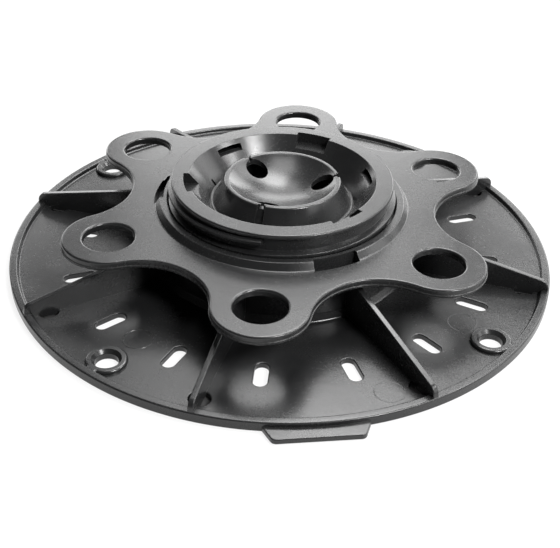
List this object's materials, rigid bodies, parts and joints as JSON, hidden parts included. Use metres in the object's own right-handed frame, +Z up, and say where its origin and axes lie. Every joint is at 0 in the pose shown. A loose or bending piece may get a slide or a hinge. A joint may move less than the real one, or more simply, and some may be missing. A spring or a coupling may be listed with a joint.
{
  "type": "decking pedestal",
  "caption": "Low adjustable decking pedestal: round ribbed base plate, lobed adjusting wheel and a threaded cup with a ball seat that the wheel raises.",
  "frame": {"origin": "middle of the base plate's underside", "axes": "+Z up along the thread's axis, -Y towards the tab side"},
  "size_m": [0.1998, 0.2069, 0.032],
  "materials": {
    "moulded_plastic": "satin, fine moulded grain"
  },
  "bodies": {
    "base": {"base_plate": "moulded_plastic"},
    "wheel": {"adjusting_wheel": "moulded_plastic"},
    "cup": {"threaded_cup": "moulded_plastic"}
  },
  "joints": [
    {"name": "wheel_turn", "type": "hinge", "parent": "base", "child": "wheel", "pos_m": [0, 0, 0.0187], "axis": [0, 0, -1], "range_deg": [0, 900]},
    {"name": "cup_rise", "type": "slide", "parent": "base", "child": "cup", "axis": [0, 0, 1], "range_m": [0, 0.012]}
  ],
  "couplings": [
    {"joint": "cup_rise", "follows": "wheel_turn", "m_per_rad": 0.00076394}
  ]
}
